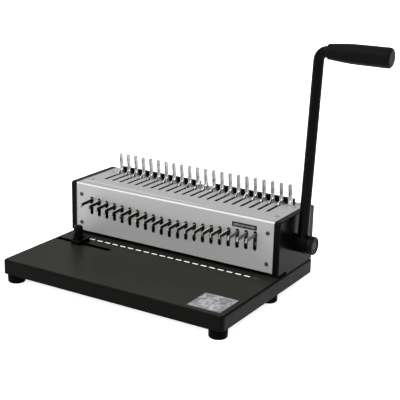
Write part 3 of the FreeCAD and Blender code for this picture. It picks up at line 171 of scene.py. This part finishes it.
# ------------------------------------------------------------------ materials
def make_paint(name, base, rough0, peel=0.10, spec=0.35, tint=(1.0, 1.0, 0.985), dust=0.004, painted_top_light=0.0):
    """Satin black stove enamel: orange peel, faint cloudiness, fine dust specks; faces turned up can be painted paler,
    a painted highlight.
    """
    g = Graph(name)
    cloud = g.noise(9.0, 3.0, 0.55)
    fine = g.noise(260.0, 5.0, 0.6)
    c = g.mix(g.ramp(cloud, 0.35, 0.7), grey(base * 0.92, *tint), grey(base * 1.12, *tint))
    c = g.mix(g.math("MULTIPLY", g.ramp(fine, 0.45, 0.75), 0.35), c, grey(base * 1.0 + dust, *tint))
    # painted light: faces turned up are painted many times paler than the rest, standing in for the sheen of the lit
    # top; the noise only varies the tone
    if painted_top_light:
        flat = g.ramp(g.normal_up("z"), 0.86, 0.985)
        film = g.mix(g.ramp(g.noise(3.2, 3.0, 0.5), 0.35, 0.68), grey(painted_top_light * 0.82, *tint), grey(painted_top_light * 1.15, *tint))
        c = g.mix(g.math("MULTIPLY", flat, 0.92), c, film)
    g.colour(c)
    g.rough(g.math("ADD", g.ramp(cloud, 0.3, 0.7, -0.03, 0.035), g.ramp(fine, 0.3, 0.7, rough0 - 0.03, rough0 + 0.04)))
    g.bump(g.noise(900.0, 2.0, 0.5), peel, 0.00012)
    g.bump(g.noise(330.0, 2.0, 0.5), peel * 0.8, 0.0003)
    g.set(Specular_IOR_Level=spec, Metallic=0.0)
    return g.mat


def make_plastic(name, base, rough0, grain=0.35, spec=0.35, scale=1500.0, tint=(1.0, 1.0, 1.0)):
    """Spark-eroded black plastic: fine even grain with softer, paler worn spots."""
    g = Graph(name)
    cell = g.voronoi(scale)
    cloud = g.noise(14.0, 3.0, 0.5)
    c = g.mix(g.ramp(cloud, 0.3, 0.75), grey(base * 0.9, *tint), grey(base * 1.15, *tint))
    g.colour(c)
    g.rough(g.math("ADD", g.ramp(cloud, 0.3, 0.7, -0.04, 0.04), g.ramp(cell, 0.0, 0.6, rough0 + 0.06, rough0 - 0.04)))
    g.bump(cell, grain, 0.00006)
    g.set(Specular_IOR_Level=spec)
    return g.mat


def make_rubber(name, base, rough0, grain=0.5, pores=700.0, spec=0.14, sheen=0.03, painted_end_light=0.0):
    """Moulded rubber with a dull skin, fine pores and a little bloom.

    The end-face argument paints faces turned towards +x paler, a painted highlight on a sleeve's closed end."""
    g = Graph(name)
    p = g.voronoi(pores)
    n = g.noise(40.0, 4.0, 0.6)
    c = g.mix(g.ramp(n, 0.4, 0.72), grey(base), grey(base * 1.35 + base * 0.2, 1.0, 0.99, 0.97))
    # painted highlight: faces turned towards +x are painted paler
    if painted_end_light:
        c = g.mix(g.ramp(g.normal_up("x"), 0.80, 0.97), c, g.mix(g.ramp(n, 0.4, 0.72), grey(painted_end_light), grey(painted_end_light * 1.3)))
    g.colour(c)
    g.rough(g.ramp(n, 0.3, 0.7, rough0 - 0.05, rough0 + 0.06))
    g.bump(p, grain, 0.00010)
    g.bump(g.noise(1900.0, 2.0), grain * 0.6, 0.00005)
    g.set(Specular_IOR_Level=spec, Sheen_Weight=sheen, Sheen_Roughness=0.5)
    return g.mat


def make_metal(name, base, rough0, metallic=1.0, brush=None, brush_amp=0.12, spots=0.10, tint=(1.0, 1.0, 1.0)):
    """Steel: plating spangle, fine rolling lines along one axis, handling marks."""
    g = Graph(name)
    if brush:
        sx, sy, sz = {"x": (3.0, 420.0, 420.0), "y": (420.0, 3.0, 420.0), "z": (420.0, 420.0, 3.0)}[brush]
        lines = g.noise(7.0, 6.0, 0.65, vec=g.scaled(sx, sy, sz))
    else:
        lines = g.noise(500.0, 4.0, 0.6)
    marks = g.noise(30.0, 4.0, 0.6)
    c = g.mix(g.ramp(lines, 0.3, 0.7), grey(base * (1 - spots), *tint), grey(min(base * (1 + spots * 0.6), 1.0), *tint))
    c = g.mix(g.math("MULTIPLY", g.ramp(marks, 0.55, 0.8), 0.25), c, grey(base * 0.72, *tint))
    g.colour(c)
    g.rough(g.math("ADD", g.ramp(lines, 0.25, 0.75, -brush_amp / 2, brush_amp / 2), g.ramp(marks, 0.3, 0.75, rough0 - 0.03, rough0 + 0.06)))
    g.bump(lines, 0.10, 0.00004)
    g.set(Metallic=metallic)
    return g.mat


def make_silver():
    """Satin silver lacquer over rolled sheet: lines along X, fine flake, soft clouds.

    The walls of the punched slots and the inside of the sheet are painted near black,
    painted shade and partly raw cut edge; painted highlight lines and a painted shade line run along the front bend."""
    g = Graph("silver_sheet")
    lines = g.noise(6.0, 8.0, 0.7, vec=g.scaled(2.2, 300.0, 300.0))
    flake = g.voronoi(2600.0)
    cloud = g.noise(7.0, 3.0, 0.5)
    c = g.mix(g.ramp(lines, 0.30, 0.70), grey(SILVER * 0.95, 1.0, 1.0, 1.005), grey(SILVER * 1.05))
    c = g.mix(g.math("MULTIPLY", g.ramp(flake, 0.02, 0.35, 1.0, 0.0), 0.28), c, grey(SILVER * 1.32))
    c = g.mix(g.math("MULTIPLY", g.ramp(cloud, 0.45, 0.75), 0.22), c, grey(SILVER * 0.86, 1.0, 0.995, 0.98))
    y = g.math("SUBTRACT", g.pos("y"), ORG.y * MM)
    z = g.math("SUBTRACT", (ORG.z + TOP) * MM, g.pos("z"))
    # painted highlight: a soft pale line painted behind the bend, slightly askew, that dies out
    x = g.math("SUBTRACT", g.pos("x"), ORG.x * MM)
    line = g.math("SUBTRACT", 0.017, g.math("MULTIPLY", g.math("ADD", x, 0.150), 9.0 / 210.0))
    painted_lip_highlight = g.ramp(g.math("ABSOLUTE", g.math("SUBTRACT", y, line)), 0.0007, 0.0021, 1.0, 0.0)
    painted_lip_highlight = g.math("MULTIPLY", painted_lip_highlight, g.ramp(x, 0.020, 0.085, 1.0, 0.0))
    painted_lip_highlight = g.math("MULTIPLY", painted_lip_highlight, g.ramp(z, 0.0002, 0.0003, 1.0, 0.0))
    c = g.mix(g.math("MULTIPLY", painted_lip_highlight, 0.85), c, grey(SILVER * 1.62))
    # painted shade: a dark line is painted just behind the bend
    dull = g.ramp(g.math("ABSOLUTE", g.math("SUBTRACT", y, 0.0046)), 0.0004, 0.0019, 0.55, 0.0)
    dull = g.math("MULTIPLY", dull, g.ramp(z, 0.0002, 0.0003, 1.0, 0.0))
    c = g.mix(dull, c, grey(SILVER * 0.62))
    # painted highlight: the outer radius of the bend is painted bright
    painted_fold_highlight = g.math("MULTIPLY", g.ramp(y, 0.0010, 0.0024, 1.0, 0.0), g.ramp(z, 0.0010, 0.0024, 1.0, 0.0))
    c = g.mix(painted_fold_highlight, c, grey(0.47, 1.0, 1.0, 0.99))
    # painted shade, partly raw cut edge: the slot walls and the whole inside of the sheet, behind the panel face and
    # below the top face but not the bend, are painted near black
    inside = g.math("MULTIPLY", g.ramp(y, 0.00012, 0.00022), g.ramp(z, 0.00012, 0.00022))
    bend = g.math("MULTIPLY", g.ramp(y, 0.0039, 0.0041, 1.0, 0.0), g.ramp(z, 0.0039, 0.0041, 1.0, 0.0))
    shade_and_raw_wall = g.math("MULTIPLY", inside, g.math("SUBTRACT", 1.0, bend))
    c = g.mix(shade_and_raw_wall, c, grey(0.006))
    g.colour(c)
    g.rough(g.math("ADD", g.ramp(lines, 0.3, 0.7, -0.035, 0.045), g.ramp(cloud, 0.3, 0.7, 0.44, 0.50)))
    g.bump(lines, 0.14, 0.00005)
    g.bump(flake, 0.10, 0.00003)
    g.set(Metallic=0.28)
    return g.mat


def make_tab():
    """Pull tabs of the punch pins: oil-blackened stampings whose upper faces are painted pale, a painted highlight.

    The last three are paler on their flanks."""
    g = Graph("tab_steel")
    n = g.noise(220.0, 4.0, 0.6)
    patch_noise = g.noise(420.0, 3.0, 0.6)
    # painted highlight: faces turned up take the pale edge colour
    up = g.ramp(g.normal_up("z"), 0.80, 0.93)
    right = g.ramp(g.pos("x"), (107.0 + ORG.x) * MM, (113.0 + ORG.x) * MM)
    dark = g.mix(g.ramp(n, 0.35, 0.7), grey(0.008, 1.0, 1.0, 0.72), grey(0.016, 1.0, 1.0, 0.74))
    pale = g.mix(g.ramp(n, 0.35, 0.7), grey(0.12, 1.0, 1.0, 0.90), grey(0.20, 1.0, 1.0, 0.94))
    body = g.mix(right, dark, pale)
    edge = g.mix(g.ramp(patch_noise, 0.32, 0.66), grey(0.46, 1.0, 0.99, 0.86), grey(0.74, 1.0, 1.0, 0.93))
    edge = g.mix(g.math("MULTIPLY", right, 0.85), edge, grey(0.20, 1.0, 1.0, 0.90))
    # painted highlight: the pale of the upper faces is kept to one side of each tab, and the front faces of the tab's
    # tip are painted pale
    x = g.math("SUBTRACT", g.pos("x"), ORG.x * MM)
    across = g.math("MODULO", g.math("ADD", x, 10.5 * PITCH * MM), PITCH * MM)
    across = g.math("SUBTRACT", across, 0.5 * PITCH * MM)
    up = g.math("MULTIPLY", up, g.ramp(across, 0.0002, 0.0007, 1.0, 0.12))
    painted_nose_highlight = g.math("MULTIPLY", g.ramp(g.normal_up("y"), -0.80, -0.50, 0.75, 0.0), g.ramp(patch_noise, 0.30, 0.60))
    body = g.mix(painted_nose_highlight, body, grey(0.42, 1.0, 1.0, 0.90))
    g.colour(g.mix(up, body, edge))
    g.rough(g.ramp(n, 0.3, 0.7, 0.30, 0.42))
    g.bump(n, 0.15, 0.00005)
    g.set(Metallic=0.55, Specular_IOR_Level=0.25)
    return g.mat


def make_hook():
    """Comb hooks: dulled zinc with fine shearing lines; faces turned along x are painted dark, partly dark oxide and
    partly painted shade, and all other faces are painted pale, a painted highlight.
    """
    g = Graph("hook_steel")
    # painted shade and highlight: sides turned along x are dark, every other face pale
    side = g.ramp(g.normal_axis("x"), 0.55, 0.8)
    n = g.noise(220.0, 4.0, 0.6)
    lines = g.noise(8.0, 4.0, 0.6, vec=g.scaled(900.0, 40.0, 40.0))
    dark_and_shaded_flank = g.mix(g.ramp(n, 0.35, 0.7), grey(0.012, 1.0, 1.0, 0.92), grey(0.040, 1.0, 1.0, 0.92))
    edge = g.mix(g.ramp(lines, 0.35, 0.7), grey(0.28, 1.0, 1.0, 0.94), grey(0.62, 1.0, 1.0, 0.96))
    c = g.mix(side, edge, dark_and_shaded_flank)
    c = g.mix(g.math("MULTIPLY", g.ramp(g.noise(380.0, 2.0, 0.5), 0.47, 0.57), 0.9), c, grey(0.008))
    g.colour(c)
    g.rough(g.math("ADD", g.math("MULTIPLY", side, 0.10), g.ramp(n, 0.3, 0.7, 0.26, 0.36)))
    g.bump(n, 0.15, 0.00005)
    g.set(Metallic=0.75)
    return g.mat


def make_tine():
    """Bright zinc tines with random dark spots; their sides are painted darker, and the tone is painted darker towards
    the lever, paler just above the cover and darker at the crown: painted shade and painted reflection.
    """
    g = Graph("tine_plating")
    lines = g.noise(7.0, 6.0, 0.65, vec=g.scaled(420.0, 420.0, 3.0))
    marks = g.noise(60.0, 4.0, 0.6)
    dark_and_shaded_flank = g.ramp(g.normal_axis("x"), 0.35, 0.75)
    c = g.mix(g.ramp(lines, 0.3, 0.7), grey(0.60), grey(0.82))
    spots = g.noise(210.0, 3.0, 0.6)
    c = g.mix(g.math("MULTIPLY", g.ramp(spots, 0.50, 0.66), 0.60), c, grey(0.26))
    # painted reflection: the tone is painted darker towards the lever
    dull = g.ramp(g.pos("x"), (10.0 + ORG.x) * MM, (140.0 + ORG.x) * MM, 0.0, 0.50)
    c = g.mix(dull, c, grey(0.20))
    # painted shade: faces turned along x are painted darker
    c = g.mix(dark_and_shaded_flank, c, g.mix(g.ramp(lines, 0.3, 0.7), grey(0.17), grey(0.30)))
    z = g.math("SUBTRACT", g.pos("z"), ORG.z * MM)
    # painted reflection: paler just above the cover and darker at the crown, painted by height
    painted_low_highlight = g.math("MULTIPLY", g.ramp(z, 0.0965, 0.0995, 1.0, 0.0), g.ramp(marks, 0.2, 0.7, 0.5, 0.9))
    c = g.mix(g.math("MULTIPLY", painted_low_highlight, 0.35), c, grey(0.92))
    c = g.mix(g.math("MULTIPLY", g.ramp(z, 0.1115, 0.1150), 0.6), c, grey(0.34))
    g.colour(c)
    g.rough(g.math("ADD", g.ramp(lines, 0.25, 0.75, -0.05, 0.05), g.ramp(marks, 0.3, 0.75, 0.18, 0.27)))
    g.bump(lines, 0.10, 0.00004)
    g.set(Metallic=0.85)
    return g.mat


def make_foil():
    """Blank self-adhesive foil: satin film, slightly uneven where it is stuck down."""
    g = Graph("label_foil")
    cloud = g.noise(105.0, 4.0, 0.6, distortion=0.8)
    fine = g.noise(900.0, 3.0, 0.6)
    streak = g.noise(4.0, 5.0, 0.65, vec=g.scaled(70.0, 26.0, 1.0))
    c = g.mix(g.ramp(cloud, 0.38, 0.62), grey(0.13, 0.98, 0.99, 1.05), grey(0.50, 1.0, 1.0, 1.03))
    c = g.mix(g.math("MULTIPLY", g.ramp(streak, 0.44, 0.60), 0.60), c, grey(0.17, 0.97, 0.98, 1.08))
    # clear margin of the film
    x = g.math("SUBTRACT", g.pos("x"), ORG.x * MM)
    y = g.math("SUBTRACT", g.pos("y"), ORG.y * MM)
    ink = g.math("MULTIPLY", g.ramp(x, 0.1233, 0.1237), g.ramp(x, 0.1735, 0.1739, 1.0, 0.0))
    ink = g.math("MULTIPLY", ink, g.ramp(y, -0.1475, -0.1471))
    c = g.mix(ink, grey(0.0110, 1.0, 1.01, 0.80), c)
    g.colour(c)
    g.rough(g.math("ADD", g.ramp(fine, 0.3, 0.7, -0.03, 0.03), g.ramp(cloud, 0.3, 0.7, 0.34, 0.46)))
    g.bump(cloud, 0.25, 0.00025)
    g.set(Metallic=0.35)
    return g.mat


def make_plate():
    """Blank name plate: a plain grey field inside a black border."""
    g = Graph("blank_plate")
    n = g.noise(800.0, 3.0, 0.5)
    x = g.math("ABSOLUTE", g.math("SUBTRACT", g.pos("x"), (125.15 + ORG.x) * MM))
    z = g.math("ABSOLUTE", g.math("SUBTRACT", g.pos("z"), (68.3 + ORG.z) * MM))
    # distance in from the outline, 39.5 x 7.0 mm
    d = g.math("MINIMUM", g.math("SUBTRACT", 0.01975, x), g.math("SUBTRACT", 0.0035, z))
    field = g.ramp(d, 0.00165, 0.00185)
    cloud = g.ramp(g.noise(330.0, 2.0, 0.5), 0.40, 0.60)
    c = g.mix(g.ramp(n, 0.3, 0.7), grey(0.0010), grey(0.0018))
    g.colour(g.mix(field, c, g.mix(cloud, grey(0.060), grey(0.170))))
    g.rough(g.ramp(n, 0.3, 0.7, 0.34, 0.42))
    g.bump(n, 0.05, 0.00003)
    g.set(Specular_IOR_Level=0.05)
    return g.mat


def make_cover_screw():
    """Cover screws: the front ones are blackened, the top ones dull zinc."""
    g = Graph("cover_screw")
    n = g.noise(400.0, 4.0, 0.6)
    front = g.ramp(g.pos("y"), (0.5 + ORG.y) * MM, (1.0 + ORG.y) * MM, 1.0, 0.0)
    dark = g.mix(g.ramp(n, 0.3, 0.7), grey(0.030), grey(0.060))
    pale = g.mix(g.ramp(n, 0.3, 0.7), grey(0.30), grey(0.42))
    # the cross recess is painted dark
    z = g.math("SUBTRACT", g.pos("z"), (ORG.z + TOP) * MM)
    sunk = g.math("MULTIPLY", g.ramp(z, 0.0006, 0.0010, 1.0, 0.0), g.math("SUBTRACT", 1.0, front))
    c = g.mix(front, pale, dark)
    g.colour(g.mix(g.math("MULTIPLY", sunk, 0.8), c, grey(0.03)))
    g.rough(g.ramp(n, 0.3, 0.7, 0.34, 0.46))
    g.bump(n, 0.12, 0.00004)
    g.set(Metallic=0.6, Specular_IOR_Level=0.3)
    return g.mat


def make_mark():
    """Bright sight inlays; the last one, past the slot row, is drawn dark with a thin pale line that fades out."""
    g = Graph("mark_inlay")
    n = g.noise(300.0, 3.0, 0.5)
    x = g.math("SUBTRACT", g.pos("x"), ORG.x * MM)
    y = g.math("SUBTRACT", g.pos("y"), ORG.y * MM)
    rest = g.ramp(g.math("ABSOLUTE", g.math("SUBTRACT", y, -0.0134)), 0.0001, 0.0007, 1.0, 0.0)
    rest = g.math("MULTIPLY", rest, g.ramp(x, 0.1492, 0.1580, 0.35, 0.03))
    last_mark = g.ramp(x, 0.1460, 0.1470)
    c = g.mix(g.ramp(n, 0.3, 0.7), grey(0.93), grey(0.96))
    g.colour(g.mix(last_mark, c, g.mix(rest, grey(0.006), grey(0.60))))
    g.rough(g.ramp(n, 0.3, 0.7, 0.38, 0.46))
    return g.mat


MAT = {
    "deck_paint": make_paint("deck_enamel", 0.0013, 0.33, peel=0.08, spec=0.034, tint=(1.0, 1.01, 0.80), dust=0.0006, painted_top_light=0.0178),
    "lever_paint": make_paint("lever_enamel", 0.0010, 0.36, peel=0.06, spec=0.04, dust=0.0004),
    "panel_silver": make_silver(),
    "black_plastic": make_plastic("cap_plastic", 0.0024, 0.27, grain=0.08, spec=0.030),
    "knob_plastic": make_plastic("knob_plastic", 0.0012, 0.40, grain=0.18, spec=0.06, scale=2200.0),
    "hub_plastic": make_plastic("hub_plastic", 0.0008, 0.42, grain=0.22, spec=0.035, scale=1900.0),
    "hubcap_plastic": make_plastic("hubcap_plastic", 0.0038, 0.46, grain=0.20, spec=0.04, scale=1900.0, tint=(1.0, 1.0, 0.84)),
    "bar_plastic": make_plastic("bar_plastic", 0.0025, 0.44, grain=0.20, spec=0.08),
    "grip_rubber": make_rubber("grip_rubber", 0.0019, 0.50, grain=0.35, pores=900.0, spec=0.036, painted_end_light=0.0),
    "foot_rubber": make_rubber("foot_rubber", 0.0004, 0.60, grain=0.30, pores=600.0, spec=0.02, sheen=0.0),
    "bright_steel": make_tine(),
    "hook_steel": make_hook(),
    "tab_steel": make_tab(),
    "zinc_screw": make_metal("screw_zinc", 0.40, 0.34, spots=0.14),
    "dark_screw": make_metal("screw_dark", 0.085, 0.36, metallic=0.85, spots=0.20),
    "frame_steel": make_metal("frame_zinc", 0.42, 0.38, brush="x", spots=0.12),
    "tool_steel": make_metal("tool_steel", 0.30, 0.32, brush="z", spots=0.14),
    "black_steel": make_metal("black_oxide", 0.012, 0.42, metallic=0.6, spots=0.25),
    "bronze": make_metal("bush_bronze", 0.42, 0.40, spots=0.15, tint=(1.25, 0.95, 0.55)),
    "mark_white": make_mark(),
    "foil_silver": make_foil(),
    "plate_black": make_plate(),
}

SLOT_LOOK = {
    "deck_paint": "deck_paint", "lever_paint": "lever_paint", "panel_silver": "panel_silver",
    "black_plastic": "black_plastic", "grip_rubber": "grip_rubber", "foot_rubber": "foot_rubber",
    "bright_steel": "bright_steel", "hook_steel": "hook_steel", "zinc_screw": "zinc_screw",
    "frame_steel": "frame_steel", "tool_steel": "tool_steel", "black_steel": "black_steel",
    "bronze": "bronze", "mark_white": "mark_white", "foil_silver": "foil_silver", "plate_black": "plate_black",
}
# looks that differ inside one record slot
NODE_LOOK = {
    "stop_bar_left": "bar_plastic", "stop_bar_right": "bar_plastic",
    "side_guide": "knob_plastic", "guide_knob": "knob_plastic",
    "lever_hub": "hub_plastic", "hub_cap": "hubcap_plastic", "hub_cap_screw": "black_steel",
    "pin_tabs": "tab_steel", "cover_screws": "screw_mixed",
}
MAT["screw_mixed"] = make_cover_screw()
slot_of = {s["node"]: s["material_slot"] for s in frame["record"]["subparts"]}
for name, obj in NODES.items():
    look = NODE_LOOK.get(name) or SLOT_LOOK.get(slot_of[name], "black_plastic")
    obj.data.materials.clear()
    obj.data.materials.append(MAT[look])

# small broken edges, as every real stamped, moulded or sawn piece has
EDGES = {
    "tines": 0.35, "pin_tabs": 0.22, "top_hooks": 0.22, "stop_bar_left": 0.5, "stop_bar_right": 0.5,
    "middle_bracket": 0.2, "side_guide": 0.25, "bottom_plate": 0.3, "chip_tray": 0.3,
}
for name, width in EDGES.items():
    obj = NODES[name]
    weld = obj.modifiers.new("weld", "WELD")
    weld.merge_threshold = 2e-6
    bev = obj.modifiers.new("edge", "BEVEL")
    bev.width = width * MM
    bev.segments = 2
    bev.limit_method = "ANGLE"
    bev.angle_limit = math.radians(38)
    bev.harden_normals = True
    bev.use_clamp_overlap = True

# ------------------------------------------------------------------ stage
floor_mat = Graph("studio_floor")
fn = floor_mat.noise(3.0, 2.0)
floor_mat.colour(floor_mat.mix(floor_mat.ramp(fn, 0.3, 0.7), grey(0.93), grey(0.95)))
floor_mat.set(Roughness=0.8, Specular_IOR_Level=0.1)
fm = bpy.data.meshes.new("floor")
S = 14.0
fm.from_pydata([(-S, -S, -0.0002), (S, -S, -0.0002), (S, S, -0.0002), (-S, S, -0.0002)], [], [(0, 1, 2, 3)])
fm.update()
floor = bpy.data.objects.new("floor", fm)
bpy.context.scene.collection.objects.link(floor)
floor.data.materials.append(floor_mat.mat)
# a bright cyclorama: it fills its own shadows and doesn't throw light back up
floor_mat.set(Emission_Color=(1.0, 1.0, 1.0, 1.0), Emission_Strength=0.80)
floor.visible_diffuse = False

# ------------------------------------------------------------------ light
world = bpy.data.worlds.new("studio")
world.use_nodes = True
bpy.context.scene.world = world
bg = world.node_tree.nodes["Background"]
bg.inputs["Color"].default_value = (1.0, 1.0, 1.0, 1.0)
bg.inputs["Strength"].default_value = 0.66


def area(name, loc, target, size, power, size_y=None):
    d = bpy.data.lights.new(name, "AREA")
    d.energy = power
    d.shape = "RECTANGLE"
    d.size = size
    d.size_y = size_y or size
    o = bpy.data.objects.new(name, d)
    bpy.context.scene.collection.objects.link(o)
    o.location = loc
    o.rotation_euler = (Vector(target) - Vector(loc)).to_track_quat("-Z", "Y").to_euler()
    return o


def soft_sun(name, towards, angle, energy):
    """A wide, even overhead light, as from a large softbox far away."""
    d = bpy.data.lights.new(name, "SUN")
    d.energy = energy
    d.angle = math.radians(angle)
    o = bpy.data.objects.new(name, d)
    bpy.context.scene.collection.objects.link(o)
    o.rotation_euler = Vector(towards).to_track_quat("Z", "Y").to_euler()
    return o


soft_sun("key", (-0.30, -0.72, 0.95), 70.0, 3.6)
area("right_box", (2.2, -0.4, 1.1), (0.1, 0.0, 0.15), 0.9, 2.8)

# ------------------------------------------------------------------ camera
cam_data = bpy.data.cameras.new("camera")
cam_data.lens = 90.7027
cam_data.sensor_width = 36.0
cam_data.sensor_fit = "HORIZONTAL"
cam_data.clip_end = 60.0
cam = bpy.data.objects.new("camera", cam_data)
bpy.context.scene.collection.objects.link(cam)
right = Vector((0.85358013, 0.52039463, 0.02429782))
up = Vector((-0.17205064, 0.2375697, 0.95601214))
fwd = Vector((-0.49173116, 0.82021342, -0.29231901))
m = Matrix(((right.x, up.x, -fwd.x, 0.707236), (right.y, up.y, -fwd.y, -1.163179), (right.z, up.z, -fwd.z, 0.551203), (0, 0, 0, 1)))
cam.matrix_world = m
bpy.context.scene.camera = cam
bpy.context.scene.view_settings.view_transform = "Standard"
